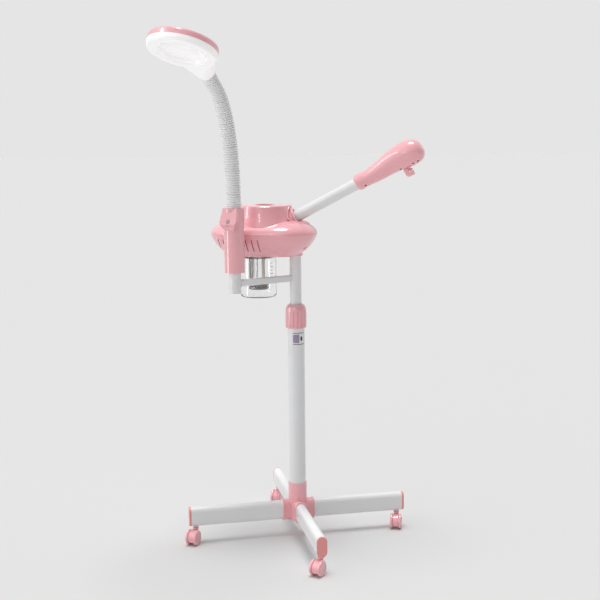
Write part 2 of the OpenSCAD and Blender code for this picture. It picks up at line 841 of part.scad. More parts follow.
module panel_wedge() {
    rotate([0, 0, panel_turn]) intersection() {
        translate([0, panel_half, 0]) rotate([90, 0, 0]) linear_extrude(2 * panel_half)
            polygon([[0, sleeve_top], [panel_top_x, sleeve_top], [panel_low_x, panel_low_z],
                [panel_low_x - 1.5, panel_low_z - 5], [20, panel_foot_z], [0, panel_foot_z]]);
        rotate([90, 0, 90]) linear_extrude(panel_low_x + CUT)
            polygon([[-18, sleeve_top], [18, sleeve_top], [panel_half, panel_low_z + 6],
                [panel_half - 4, panel_low_z - 4], [9, panel_foot_z], [-9, panel_foot_z],
                [4 - panel_half, panel_low_z - 4], [-panel_half, panel_low_z + 6]]);
    }
}

// The button's frame: X runs out of the slanted panel.
module on_button() {
    on_post() rotate([0, 0, panel_turn]) translate([button_x, 0, button_z])
        rotate([0, -panel_lean, 0]) children();
}

module lamp_sleeve() {
    color(PINK) difference() {
        on_post() union() {
            translate([0, 0, sleeve_z]) cylinder(d = sleeve_d, h = sleeve_top - sleeve_z);
            panel_wedge();
        }
        on_post() {
            translate([0, 0, sleeve_z - CUT])
                cylinder(r = tube_d / 2 + RUN, h = sleeve_bore_top - sleeve_z + CUT);
            translate([0, 0, sleeve_z + bearing_h])
                cylinder(d = sleeve_d - 5, h = 70);
            translate([0, 0, neck_z]) sphere(neck_d / 2 + neck_gap);
        }
        on_button() rod_x(button_d / 2 + 0.3, -7, CUT);
    }
}

module light_switch() {
    color(WHITE) on_button() rod_x(button_d / 2, -4.5, 1.2);
}

module gooseneck(i) {
    last = i == neck_count;
    color(WHITE) difference() {
        on_neck(i - 1) {
            sphere(neck_d / 2);
            cylinder(d = neck_d, h = neck_pitch);
        }
        if (!last) on_neck(i) sphere(neck_d / 2 + neck_gap);
    }
}

module lamp_housing() {
    outer = lamp_d / 2;
    inner = lens_view_d / 2;
    seat = lens_z - lens_edge;
    floor_z = diffuser_z + 2.5;
    color(WHITE) difference() {
        union() {
            on_lamp() rotate_extrude()
                polygon([[inner, seat - lens_rim_drop], [inner, seat - 1.2], [inner + 3.8, -12],
                    [inner + 5.5, -ring_below], [inner + 7, -ring_below], [inner + 7, diffuser_z],
                    [outer - 8, diffuser_z], [outer - 8, -ring_below], [outer - 5, -ring_below],
                    [outer - 2.2, -12.2], [outer - 0.6, -8], [outer, 0], [outer - 2.5, 0],
                    [outer - 3, -7.5], [outer - 5, floor_z], [inner + 7, floor_z],
                    [lens_d / 2 + 2.5, seat - 3], [lens_d / 2 + 2.5, 0],
                    [lens_d / 2 + 0.1, 0], [lens_d / 2 + 0.1, seat]]);
            difference() {
                on_neck(neck_count - 1) translate([0, 0, neck_pitch]) sphere(boss_r);
                on_lamp() translate([-150, -50, -2]) cube([200, 100, 80]);
                on_lamp() translate([0, 0, -ring_below - 0.5]) cylinder(r = outer - 1.5, h = 20);
                on_lamp() translate([0, 0, -60]) cylinder(r = inner + 8, h = 100);
            }
        }
        on_neck(neck_count - 1) translate([0, 0, neck_pitch - 2 * boss_r])
            cylinder(d = neck_d, h = 2 * boss_r);
        for (k = [0:led_count - 1]) on_lamp() rotate([0, 0, (k + 0.5) * 360 / led_count])
            translate([led_ring_r, 0, diffuser_z - EPS]) cylinder(r = 2.5, h = 3);
    }
}

module lamp_cover() {
    outer = lamp_d / 2;
    inner = lens_view_d / 2;
    seat = lens_z + lens_edge;
    color(PINK) on_lamp() rotate_extrude()
        polygon([[outer, 0], [outer, 9.5], [outer - 1.2, 13], [outer - 4.5, ring_above],
            [inner + 2.5, ring_above], [inner, ring_above - 2], [inner, seat + lens_rim_drop],
            [lens_d / 2 + 0.5, seat], [lens_d / 2 + 0.5, 12.5], [outer - 4, 12.5],
            [outer - 2.5, 9.5], [outer - 2.5, 0]]);
}

module magnifier_lens() {
    color(CLEAR) on_lamp() translate([0, 0, lens_z]) rotate_extrude() intersection() {
        translate([0, lens_half - lens_face_r]) circle(lens_face_r, $fn = 720);
        translate([0, lens_face_r - lens_half]) circle(lens_face_r, $fn = 720);
        translate([0, -lens_half]) square([lens_d / 2, 2 * lens_half]);
    }
}

module led_ring() {
    color([0.95, 0.95, 0.90]) on_lamp()
        tube(lamp_d - 14, lens_view_d + 18, diffuser_z + 2.5, diffuser_z + 4.1);
}

module light_diffuser() {
    color([0.97, 0.97, 1.0]) on_lamp()
        tube(lamp_d - 16, lens_view_d + 14, -ring_below, diffuser_z);
}

// ---- parts ----

hub();
for (i = [1:4]) leg(i);
leg_caps();
caster_stems();
for (i = [1:4]) caster_hood(i);
for (i = [1:4]) wheel(i, -1);
for (i = [1:4]) wheel(i, 1);
lower_pole();
lock_insert();
lock_collar();
glide_plug();
upper_pole();
lamp_bracket();
pole_socket();
lower_shell();
upper_shell();
arm_socket();
well_cup();
boiler_cap();
jar_gasket();
heater_coil();
electrode_rods();
level_sensor();
steam_hose();
control_board();
mains_inlet();
steam_switch();
shell_screws();
glass_jar();
arm_tube();
nozzle_housing();
nozzle_cover();
steam_duct();
nozzle_screws();
steam_spout();
lamp_sleeve();
light_switch();
for (i = [1:6]) gooseneck(i);
lamp_housing();
lamp_cover();
magnifier_lens();
led_ring();
light_diffuser();
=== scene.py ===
"""Looks for a rolling facial steamer with a ring lamp. Metres, in the CAD frame."""
import json
import math

import bmesh
import bpy
from mathutils import Matrix, Vector
from mathutils.bvhtree import BVHTree


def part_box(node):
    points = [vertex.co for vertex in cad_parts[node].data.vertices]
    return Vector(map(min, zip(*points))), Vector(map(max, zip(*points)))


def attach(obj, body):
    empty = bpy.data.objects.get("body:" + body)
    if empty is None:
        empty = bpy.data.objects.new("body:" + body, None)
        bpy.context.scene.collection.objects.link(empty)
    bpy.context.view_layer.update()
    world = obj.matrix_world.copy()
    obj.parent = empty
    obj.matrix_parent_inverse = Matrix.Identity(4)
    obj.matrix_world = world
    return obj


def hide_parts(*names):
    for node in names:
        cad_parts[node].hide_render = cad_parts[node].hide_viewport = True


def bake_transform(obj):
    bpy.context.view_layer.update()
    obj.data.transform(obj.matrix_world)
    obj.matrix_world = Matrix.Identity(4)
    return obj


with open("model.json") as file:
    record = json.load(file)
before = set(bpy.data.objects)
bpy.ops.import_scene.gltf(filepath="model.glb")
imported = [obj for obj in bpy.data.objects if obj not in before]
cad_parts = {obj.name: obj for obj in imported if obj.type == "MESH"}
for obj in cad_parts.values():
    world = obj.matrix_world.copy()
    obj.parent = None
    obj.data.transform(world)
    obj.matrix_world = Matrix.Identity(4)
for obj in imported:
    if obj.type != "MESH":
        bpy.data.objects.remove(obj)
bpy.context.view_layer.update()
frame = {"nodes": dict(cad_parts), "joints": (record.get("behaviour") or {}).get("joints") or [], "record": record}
nodes = frame["nodes"]
joints = {j["name"]: j for j in frame["joints"]}
body_of = {n: b for b, ns in frame["record"]["behaviour"]["bodies"].items() for n in ns}

UP = Vector((0, 0, 1))


def joint_pos(name):
    return Vector(joints[name]["pos_m"])


def joint_axis(name):
    return Vector(joints[name]["axis"]).normalized()


column = joint_pos("column_turn")
COLUMN = Vector((column.x, column.y, 0))

# ---- camera ----

CAM_AZIMUTH = math.radians(11)
CAM_PITCH = math.radians(8.46)
CAM_ROLL = math.radians(-0.56)
CAM_DISTANCE = 2.6313
CAM_HEIGHT = 0.986
CAM_SHIFT = 0.007
IMAGE = 600
FOCAL_PX = 1092
SENSOR = 36.0


def make_camera():
    side = Vector((math.cos(CAM_AZIMUTH), math.sin(CAM_AZIMUTH), 0))
    level = Vector((-math.sin(CAM_AZIMUTH), math.cos(CAM_AZIMUTH), 0))
    ahead = level * math.cos(CAM_PITCH) - UP * math.sin(CAM_PITCH)
    up = UP * math.cos(CAM_PITCH) + level * math.sin(CAM_PITCH)
    right = side * math.cos(CAM_ROLL) + up * math.sin(CAM_ROLL)
    up = -side * math.sin(CAM_ROLL) + up * math.cos(CAM_ROLL)
    place = COLUMN - level * CAM_DISTANCE + Vector((0, 0, CAM_HEIGHT))
    data = bpy.data.cameras.new("camera")
    data.sensor_width = SENSOR
    data.lens = FOCAL_PX / IMAGE * SENSOR
    data.shift_x = CAM_SHIFT
    cam = bpy.data.objects.new("camera", data)
    cam.matrix_world = Matrix((
        (right.x, up.x, -ahead.x, place.x),
        (right.y, up.y, -ahead.y, place.y),
        (right.z, up.z, -ahead.z, place.z),
        (0, 0, 0, 1)))
    bpy.context.scene.collection.objects.link(cam)
    bpy.context.scene.camera = cam


make_camera()

# ---- light, backdrop and floor ----

BACKDROP = 0.783
# how far a direction counts as in front of the object: this much at the sides, fading to the back
FRONT_LEVEL = 0.55
FRONT_FADE = 1.3
# in front it gains light to the left and loses it to the right; everywhere it loses some overhead
LEFT_GAIN = 0.80
FRONT_LOSS = 0.08
TOP_LOSS = 0.08
DARKEST = 0.05
FLOOR_TONE = 0.635
FLOOR_RADIUS = 60
FLOOR_SIDES = 96
OVERHEAD_ANGLE = 22  # degrees
OVERHEAD_STRENGTH = 1.7
# place, point it faces, width, height, watts and roll in degrees
SOFTBOXES = {
    "key": ((-2.6, -1.05, 0.95), (0, 0, 0.85), 0.42, 1.9, 17, 0),
    "strip": ((-0.66, -2.95, 2.1), (-0.09, -0.04, 0.77), 0.12, 1.2, 7, 0),
    "streak": ((-1.9, -0.9, 2.6), (0.22, -0.18, 0.99), 0.14, 2.2, 9, 90),
}


def make_world():
    """A pale surround. The camera sees it plain. Light and reflections see it brighter to the left
    in front of the object, and dimmer to the right and overhead."""
    world = bpy.data.worlds.new("surround")
    bpy.context.scene.world = world
    world.use_nodes = True
    tree = world.node_tree
    background = tree.nodes["Background"]
    coords = tree.nodes.new("ShaderNodeTexCoord")
    parts = tree.nodes.new("ShaderNodeSeparateXYZ")
    tree.links.new(coords.outputs["Generated"], parts.inputs[0])

    def math_node(kind, a, b, clamp=False):
        n = tree.nodes.new("ShaderNodeMath")
        n.operation = kind
        n.use_clamp = clamp
        for socket, value in zip(n.inputs, (a, b)):
            if isinstance(value, (int, float)):
                socket.default_value = value
            else:
                tree.links.new(value, socket)
        return n.outputs[0]

    x, y, z = parts.outputs
    front = math_node("SUBTRACT", FRONT_LEVEL, math_node("MULTIPLY", y, FRONT_FADE), clamp=True)
    sideways = math_node("SUBTRACT", math_node("MULTIPLY", x, -LEFT_GAIN), FRONT_LOSS)
    height = math_node("MAXIMUM", z, 0)
    above = math_node("MULTIPLY", math_node("POWER", height, 2), -TOP_LOSS)
    level = math_node("ADD", math_node("MULTIPLY", front, sideways), above)
    level = math_node("MAXIMUM", math_node("ADD", level, BACKDROP), DARKEST)
    path = tree.nodes.new("ShaderNodeLightPath")
    plain = math_node("MULTIPLY", path.outputs["Is Camera Ray"], math_node("SUBTRACT", BACKDROP, level))
    tree.links.new(math_node("ADD", level, plain), background.inputs["Strength"])
    background.inputs["Color"].default_value = (1, 1, 1, 1)


def make_floor():
    bm = bmesh.new()
    bmesh.ops.create_circle(bm, cap_ends=True, radius=FLOOR_RADIUS, segments=FLOOR_SIDES)
    mesh = bpy.data.meshes.new("floor")
    bm.to_mesh(mesh)
    bm.free()
    floor = bpy.data.objects.new("floor", mesh)
    bpy.context.scene.collection.objects.link(floor)
    mat = bpy.data.materials.new("floor")
    mat.use_nodes = True
    shader = mat.node_tree.nodes["Principled BSDF"]
    shader.inputs["Base Color"].default_value = (FLOOR_TONE, FLOOR_TONE, FLOOR_TONE, 1)
    shader.inputs["Roughness"].default_value = 1.0
    shader.inputs["Specular IOR Level"].default_value = 0.0
    mesh.materials.append(mat)


def overhead_light():
    """A broad, even light from straight above, for the soft shadows under the legs."""
    data = bpy.data.lights.new("overhead", "SUN")
    data.angle = math.radians(OVERHEAD_ANGLE)
    data.energy = OVERHEAD_STRENGTH
    lamp = bpy.data.objects.new("overhead", data)
    bpy.context.scene.collection.objects.link(lamp)


def softbox(name, place, target, width, height, watts, roll):
    """A rectangle of light that is only seen in glossy surfaces."""
    data = bpy.data.lights.new(name, "AREA")
    data.shape = "RECTANGLE"
    data.size = width
    data.size_y = height
    data.energy = watts
    lamp = bpy.data.objects.new(name, data)
    lamp.location = place
    turn = (Vector(target) - Vector(place)).to_track_quat("-Z", "Y").to_matrix()
    lamp.rotation_euler = (turn @ Matrix.Rotation(math.radians(roll), 3, "Z")).to_euler()
    lamp.visible_diffuse = False
    bpy.context.scene.collection.objects.link(lamp)


make_world()
make_floor()
overhead_light()
for name, settings in SOFTBOXES.items():
    softbox(name, *settings)
view = bpy.context.scene.view_settings
view.view_transform = "Standard"
view.look = "None"

# ---- materials ----

# a noise texture's values lie mostly between these two
NOISE_LOW = 0.3
NOISE_HIGH = 0.7
# the gloss varies in patches this many times finer than the colour
GLOSS_FINER = 6

PINK = (0.90, 0.435, 0.475)
ALONG_Z = (1, 1, 14)
SURFACES = {
    "pink_plastic": dict(color=PINK, rough=0.24, spread=0.03, vary=0.015, grain=120, bump=0.012,
                         depth=0.0003, Coat_Weight=0.8, Coat_Roughness=0.06),
    "white_paint": dict(color=(0.80, 0.805, 0.815), rough=0.36, vary=0.01, grain=700, bump=0.06,
                        Coat_Weight=0.2, Coat_Roughness=0.2),
    "white_plastic": dict(color=(0.82, 0.82, 0.825), rough=0.42, vary=0.01),
    "neck_plastic": dict(color=(0.86, 0.86, 0.865), rough=0.42, spread=0.03, vary=0.01, grain=60,
                         bump=0.01),
    "diffuser": dict(color=(0.93, 0.93, 0.94), rough=0.5, spread=0.03, vary=0.01, grain=1500,
                     Emission_Color=(1, 0.99, 0.995, 1), Emission_Strength=0.16),
    # the lamp's white housing and boss: its emission is a painted glow, a faint pinkish brightening of parts that
    # give no light
    "lamp_white_painted_glow": dict(color=(0.88, 0.88, 0.885), rough=0.3, spread=0.03, vary=0.01,
                       Emission_Color=(1, 0.975, 0.985, 1), Emission_Strength=0.19),
    "cap_plastic": dict(color=(0.80, 0.30, 0.29), rough=0.3, spread=0.03, vary=0.02, Coat_Weight=0.3),
    "dark_print": dict(color=(0.16, 0.10, 0.11), rough=0.35, spread=0.05, vary=0.1, cloud=400),
    "red_print": dict(color=(0.62, 0.36, 0.36), rough=0.4, vary=0.05, cloud=400),
    "grey_plastic": dict(color=(0.47, 0.33, 0.37), rough=0.4),
    "sticker": dict(color=(0.84, 0.84, 0.85), rough=0.3, vary=0.01, cloud=60),
    "violet_print": dict(color=(0.33, 0.28, 0.40), rough=0.35, spread=0.05, vary=0.08, cloud=400),
    "led_board": dict(color=(0.9, 0.9, 0.82), rough=0.5, spread=0.03, vary=0.02, cloud=300),
    "clear_glass": dict(color=(0.985, 0.99, 0.99), rough=0.03, spread=0.01, vary=0.004, grain=60,
                        bump=0.03, Transmission_Weight=1.0, IOR=1.45),
    # the lens's emission is a painted glow that brightens it, though it gives no light
    "lens_glass": dict(color=(0.95, 0.955, 0.96), rough=0.04, spread=0.01, vary=0.004, grain=40,
                       bump=0.01, Transmission_Weight=0.5, IOR=1.5,
                       Emission_Color=(1, 1, 1, 1), Emission_Strength=0.12),
    "steel": dict(color=(0.60, 0.61, 0.63), rough=0.3, spread=0.06, vary=0.05, stretch=ALONG_Z,
                  Metallic=1.0),
    "coil_steel": dict(color=(0.26, 0.24, 0.23), rough=0.25, spread=0.06, vary=0.05,
                       stretch=ALONG_Z, Metallic=1.0),
    "black_plastic": dict(color=(0.035, 0.035, 0.038), rough=0.5, spread=0.05, vary=0.1),
    "silicone": dict(color=(0.78, 0.79, 0.79), rough=0.4, spread=0.05, Subsurface_Weight=0.1),
    "sensor_plastic": dict(color=(0.96, 0.87, 0.78), rough=0.45),
    "circuit_board": dict(color=(0.05, 0.19, 0.09), rough=0.4, spread=0.05, vary=0.25, cloud=160),
}
# CAD nodes whose finish is not their slot's own
FINISHES = {"lamp_housing": "lamp_white_painted_glow", "leg_caps": "cap_plastic", "heater_coil": "coil_steel"}


class Nodes:
    """A small helper around one material's node tree."""

    def __init__(self, name):
        self.mat = bpy.data.materials.new(name)
        self.mat.use_nodes = True
        self.tree = self.mat.node_tree
        self.shader = self.tree.nodes["Principled BSDF"]
        coords = self.tree.nodes.new("ShaderNodeTexCoord")
        self.coords = coords.outputs["Object"]

    def link(self, a, b):
        self.tree.links.new(a, b)

    def noise(self, scale, detail=3, stretch=None):
        n = self.tree.nodes.new("ShaderNodeTexNoise")
        n.inputs["Scale"].default_value = scale
        n.inputs["Detail"].default_value = detail
        source = self.coords
        if stretch:
            m = self.tree.nodes.new("ShaderNodeMapping")
            m.inputs["Scale"].default_value = stretch
            self.link(source, m.inputs["Vector"])
            source = m.outputs["Vector"]
        self.link(source, n.inputs["Vector"])
        return n.outputs["Fac"]

    def span(self, value, low, high):
        n = self.tree.nodes.new("ShaderNodeMapRange")
        n.inputs["From Min"].default_value = NOISE_LOW
        n.inputs["From Max"].default_value = NOISE_HIGH
        n.inputs["To Min"].default_value = low
        n.inputs["To Max"].default_value = high
        self.link(value, n.inputs["Value"])
        return n.outputs["Result"]

    def mix(self, value, a, b):
        n = self.tree.nodes.new("ShaderNodeMix")
        n.data_type = "RGBA"
        n.inputs["A"].default_value = (*a, 1)
        n.inputs["B"].default_value = (*b, 1)
        self.link(value, n.inputs["Factor"])
        return n.outputs["Result"]

    def bump(self, height, strength, distance):
        n = self.tree.nodes.new("ShaderNodeBump")
        n.inputs["Strength"].default_value = strength
        n.inputs["Distance"].default_value = distance
        self.link(height, n.inputs["Height"])
        self.link(n.outputs["Normal"], self.shader.inputs["Normal"])

    def set(self, **values):
        for key, value in values.items():
            self.shader.inputs[key.replace("_", " ")].default_value = value


def tint(color, factor):
    return tuple(min(1, c * factor) for c in color)


def surface(name, color, rough, spread=0.04, vary=0.03, cloud=9, grain=900, bump=0.05,
            depth=0.0002, stretch=None, **extra):
    """A finish with faint clouding of its colour, uneven gloss and a fine grain."""
    m = Nodes(name)
    m.link(m.mix(m.span(m.noise(cloud), 0, 1), tint(color, 1 - vary), tint(color, 1 + vary)),
           m.shader.inputs["Base Color"])
    gloss = m.noise(cloud * GLOSS_FINER, detail=4, stretch=stretch)
    m.link(m.span(gloss, rough - spread, rough + spread), m.shader.inputs["Roughness"])
    m.bump(m.noise(grain, detail=2, stretch=stretch), bump, depth)
    m.set(**extra)
    return m.mat


MATS = {name: surface(name, **finish) for name, finish in SURFACES.items()}
slots = {s["node"]: s["material_slot"] for s in frame["record"]["subparts"]}
for name, obj in nodes.items():
    obj.data.materials.clear()
    obj.data.materials.append(MATS[FINISHES.get(name, slots[name])])

# ---- shared mesh tools ----

MERGE = 1e-7


def mesh_object(name, verts, faces, mat):
    mesh = bpy.data.meshes.new(name)
    mesh.from_pydata([tuple(v) for v in verts], [], faces)
    mesh.materials.append(MATS[mat])
    bm = bmesh.new()
    bm.from_mesh(mesh)
    bmesh.ops.remove_doubles(bm, verts=bm.verts, dist=MERGE)
    bmesh.ops.recalc_face_normals(bm, faces=bm.faces)
    for f in bm.faces:
        f.smooth = True
    bm.to_mesh(mesh)
    bm.free()
    obj = bpy.data.objects.new(name, mesh)
    bpy.context.scene.collection.objects.link(obj)
    return obj


def rings_object(name, rings, mat, closed=False, caps=False, sharp=None):
    """A surface through rings of equal size. closed joins the last ring to the first."""
    count = len(rings[0])
    verts = [v for ring in rings for v in ring]
    faces = []
    for i in range(len(rings) if closed else len(rings) - 1):
        j = (i + 1) % len(rings)
        for k in range(count):
            n = (k + 1) % count
            faces.append((i * count + k, i * count + n, j * count + n, j * count + k))
    if caps:
        faces.append(tuple(range(count - 1, -1, -1)))
        faces.append(tuple(range((len(rings) - 1) * count, len(rings) * count)))
    obj = mesh_object(name, verts, faces, mat)
    if sharp:
        obj.data.set_sharp_from_angle(angle=math.radians(sharp))
    return obj


def circle_ring(centre, across, other, radius, count=48):
    return [centre + (across * math.cos(t) + other * math.sin(t)) * radius
            for t in (2 * math.pi * k / count for k in range(count))]


# ---- corrugated gooseneck sleeve ----

LINKS = 6
LAST_TURN = math.radians(18)
SLEEVE_OVERLAP = 0.002
RIDGE_PITCH = 0.0054
RIDGE_R = 0.0182
# how far the surface lies below the ridge line, at even steps over one rib
RIB_DROPS = (0.0032, 0.0014, 0.0001, 0.0, 0.0001, 0.0014)

bend_axis = joint_axis("neck_bend_1")
pivots = [joint_pos(f"neck_bend_{i}") for i in range(1, LINKS + 1)]
LINK = (pivots[1] - pivots[0]).length
link_dirs = [(pivots[i + 1] - pivots[i]).normalized() for i in range(LINKS - 1)]
link_dirs.append(Matrix.Rotation(LAST_TURN, 3, bend_axis) @ link_dirs[-1])
neck_end = pivots[-1] + link_dirs[-1] * LINK
mids = [pivot + along * LINK / 2 for pivot, along in zip(pivots, link_dirs)]


def corrugated(name, a, dir_a, b, dir_b):
    """A ribbed tube from a to b. Its middle line is one cubic curve with these end directions."""
    h = (b - a).length
    ribs = max(1, round(h / RIDGE_PITCH))
    steps = ribs * len(RIB_DROPS)
    rings = []
    for s in range(steps + 1):
        t = s / steps
        place = ((2 * t**3 - 3 * t**2 + 1) * a + (t**3 - 2 * t**2 + t) * h * dir_a
                 + (-2 * t**3 + 3 * t**2) * b + (t**3 - t**2) * h * dir_b)
        along = ((6 * t**2 - 6 * t) * a + (3 * t**2 - 4 * t + 1) * h * dir_a
                 + (-6 * t**2 + 6 * t) * b + (3 * t**2 - 2 * t) * h * dir_b).normalized()
        radius = RIDGE_R - RIB_DROPS[s % len(RIB_DROPS)]
        rings.append(circle_ring(place, bend_axis, along.cross(bend_axis), radius))
    return rings_object(name, rings, "neck_plastic", caps=True)


def make_gooseneck():
    """Six sleeves that blend from link to link, from middle to middle, and a tail on the last link."""
    sleeve_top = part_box("lamp_sleeve")[1].z
    base = Vector((pivots[0].x, pivots[0].y, sleeve_top - SLEEVE_OVERLAP))
    ends = [(base, UP)] + list(zip(mids, link_dirs))
    for i in range(LINKS):
        (a, da), (b, db) = ends[i], ends[i + 1]
        piece = corrugated(f"gooseneck_sleeve_{i + 1}", a, da, b, db)
        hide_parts(f"gooseneck_{i + 1}")
        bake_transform(piece)
    tail = corrugated("gooseneck_sleeve_7", mids[-1], link_dirs[-1], neck_end, link_dirs[-1])
    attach(tail, "neck_6")


make_gooseneck()

# ---- nozzle skins ----

ARM_START = 0.008
SPLIT = -0.006
SHELL = 0.0023
LEAST_INNER_R = 0.002
SKIN_POINTS = 41
# distance along the arm, height of the top line, height of the bottom line, in millimetres
NOZZLE_LINES = [(176, 16.4, -16.0), (180, 19.6, -18.2), (186, 20.6, -18.8), (193, 19.8, -18.4),
                (202, 18.8, -18.0), (216, 20.0, -19.0), (240, 24.4, -20.4), (266, 31.6, -20.4),
                (286, 35.6, -22.4), (304, 37.6, -24.8), (318, 37.6, -26.0), (330, 35.2, -25.6),
                (340, 31.0, -22.8), (347, 24.8, -18.0), (351, 18.0, -13.0), (353.2, 9.6, -7.4)]

arm_dir = joint_axis("arm_roll")
arm_up = joint_axis("spout_turn")
arm_side = arm_up.cross(arm_dir)
ARM_ORIGIN = joint_pos("arm_roll") + arm_dir * ARM_START


def arm_point(t, n, y=0.0):
    return ARM_ORIGIN + arm_dir * t + arm_up * n + arm_side * y


def smooth_rows(rows, steps):
    """More rows between the given ones, on a smooth curve through them."""
    result = []
    for i in range(len(rows) - 1):
        around = [rows[max(i - 1, 0)], rows[i], rows[i + 1], rows[min(i + 2, len(rows) - 1)]]
        for k in range(steps):
            t = k / steps
            result.append(tuple(
                0.5 * (2 * b + (c - a) * t + (2 * a - 5 * b + 4 * c - d) * t**2
                       + (3 * b - a - 3 * c + d) * t**3)
                for a, b, c, d in zip(*around)))
    return result + [rows[-1]]


def nozzle_arc(centre, radius, upper):
    """Angles of a round section's part above the split, or below it."""
    edge = math.asin(max(-1, min(1, (SPLIT - centre) / radius)))
    low, high = (edge, math.pi - edge) if upper else (math.pi - edge, 2 * math.pi + edge)
    return [low + (high - low) * k / (SKIN_POINTS - 1) for k in range(SKIN_POINTS)]


def nozzle_line(t, centre, radius, upper):
    """Points of a round section of the nozzle, above the split or below it."""
    return [arm_point(t, centre + radius * math.sin(a), radius * math.cos(a))
            for a in nozzle_arc(centre, radius, upper)]


def make_nozzle_skin(name, node, upper):
    """One half of the nozzle. The lower half ends on the inner line of the row before its last."""
    end = nozzle_rows[-1][0]
    rings = []
    for t, top, low in nozzle_rows:
        centre, radius = (top + low) / 2, (top - low) / 2
        outer = nozzle_line(t, centre, radius, upper)
        if upper or t < end:
            inner = nozzle_line(min(t, end - SHELL), centre, max(radius - SHELL, LEAST_INNER_R), upper)
        rings.append(outer + inner[::-1])
    skin = rings_object(name, rings, "pink_plastic", caps=True, sharp=50)
    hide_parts(node)
    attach(skin, "arm")


nozzle_rows = smooth_rows([tuple(v / 1000 for v in row) for row in NOZZLE_LINES], steps=4)
make_nozzle_skin("nozzle_upper_skin", "nozzle_housing", True)
make_nozzle_skin("nozzle_lower_skin", "nozzle_cover", False)

# ---- screw recesses under the nozzle, black as painted shade ----

# distance along the arm and distance from the middle
NOZZLE_SCREWS = [(0.194, 0.0125), (0.286, 0.0140), (0.317, 0.0175), (0.329, 0.0160)]
# radius and height of a recess's lip and floor, from its middle outwards
RECESS = [(0.0004, 0.0001), (0.0012, 0.0001), (0.0016, 0.0004), (0.0023, 0.0004), (0.0026, -0.0006)]


def make_screw_recesses():
    for number, (along, aside) in enumerate(NOZZLE_SCREWS):
        t, top, low = min(nozzle_rows, key=lambda r: abs(r[0] - along))
        centre, radius = (top + low) / 2, (top - low) / 2
        for side, word in ((-1, "a"), (1, "b")):
            out = (arm_side * side * aside - arm_up * math.sqrt(radius**2 - aside**2)).normalized()
            base = arm_point(t, centre) + out * radius
            rings = [circle_ring(base + out * h, arm_dir, out.cross(arm_dir), r, count=20)
                     for r, h in RECESS]
            # each recess is shallow; its black is painted shade for the dark inside a deep screw hole
            piece = rings_object(f"nozzle_recess_{number + 1}{word}", rings, "black_plastic", caps=True)
            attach(piece, "arm")


make_screw_recesses()

# ---- thin patches on round parts: the sticker and the jar's marks ----

POLE_R = 0.0205
PATCH_POINTS = 40
PATCH_STEPS = 7
PATCH_SINK = 0.0003
# the sticker's top and bottom edge, below the collar
LABEL_TOP = 0.009
LABEL_FOOT = 0.041
LABEL_LIFT = 0.00012
PRINT_LIFT = 0.00022
# the thin lines near the sticker's top and foot; LINE_AT is a share of the sticker's half height
LINE_AT = 0.86
LINE_TURN = -58
LINE_HALF_W = 0.0160
LINE_HALF_H = 0.0009
JAR_MARKS = 5
JAR_MARK_TURN = math.radians(-31)
JAR_MARK_FOOT = 0.050
JAR_MARK_PITCH = 0.0085
JAR_MARK_LONG = 0.0050
JAR_MARK_SHORT = 0.0030
JAR_MARK_HALF_H = 0.0006
JAR_MARK_POWER = 4
JAR_MARK_LIFT = 0.0001


def patch(name, axis_point, radius, z, turn, half_w, half_h, power, lift, mat, body):
    """A thin closed patch on an upright cylinder; power 2 is an oval, higher is squarer."""
    layers = []
    for r, order in ((radius + lift, range(1, PATCH_STEPS + 1)),
                     (radius - PATCH_SINK, range(PATCH_STEPS, 0, -1))):
        for i in order:
            ring = []
            for k in range(PATCH_POINTS):
                t = 2 * math.pi * k / PATCH_POINTS
                grow = (abs(math.cos(t))**power + abs(math.sin(t))**power)**(-1 / power)
                a = turn + half_w * i / PATCH_STEPS * grow * math.cos(t) / radius
                h = z + half_h * i / PATCH_STEPS * grow * math.sin(t)
                ring.append(Vector((axis_point.x + r * math.cos(a), axis_point.y + r * math.sin(a), h)))
            layers.append(ring)
    piece = rings_object(name, layers, mat, caps=True, sharp=40)
    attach(piece, body)


def make_sticker():
    """A plain label with a block, an oval and three lines on it, and no lettering."""
    collar_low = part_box("lock_collar")[0].z
    low, high = collar_low - LABEL_FOOT, collar_low - LABEL_TOP
    mid = (low + high) / 2
    half = (high - low) / 2
    line = (LINE_TURN, LINE_HALF_W, LINE_HALF_H, 4, PRINT_LIFT, "dark_print", "grey_plastic")
    # name, height above the middle, turn in degrees, half width, half height, power, lift, finish, slot
    label = (
        ("pole_label", 0, -50, 0.0200, half, 14, LABEL_LIFT, "sticker", "white_plastic"),
        ("pole_label_block", 0, -79, 0.0080, half * 0.66, 9, PRINT_LIFT, "violet_print", "grey_plastic"),
        ("pole_label_mark", 0, -41, 0.0030, half * 0.38, 2, PRINT_LIFT, "black_plastic", "black_plastic"),
        ("pole_label_top", half * LINE_AT, *line),
        ("pole_label_foot", -half * LINE_AT, *line),
        ("pole_label_side", 0, -12, 0.0006, half * 0.80, 4, PRINT_LIFT, "dark_print", "grey_plastic"))
    for name, rise, turn, half_w, half_h, power, lift, mat, slot in label:
        patch(name, COLUMN, POLE_R, mid + rise, math.radians(turn), half_w, half_h, power, lift,
              mat, "stand")


def make_jar_marks():
    low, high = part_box("glass_jar")
    middle = (low + high) / 2
    radius = (high.x - low.x) / 2
    body = body_of["glass_jar"]
    for i in range(JAR_MARKS):
        patch(f"jar_mark_{i + 1}", middle, radius, low.z + JAR_MARK_FOOT + JAR_MARK_PITCH * i,
              JAR_MARK_TURN, JAR_MARK_LONG if i % 2 else JAR_MARK_SHORT, JAR_MARK_HALF_H,
              JAR_MARK_POWER, JAR_MARK_LIFT, "red_print", body)


make_sticker()
make_jar_marks()

# ---- lips on the hub and on the shell, bolt on the leg, mark on the lamp's panel ----

LEG_WIDTH = 0.024
HUB_WALL = 0.002
HUB_REACH = 0.040
HUB_LIP_R = 0.0021
HUB_LIP_POINTS = 48
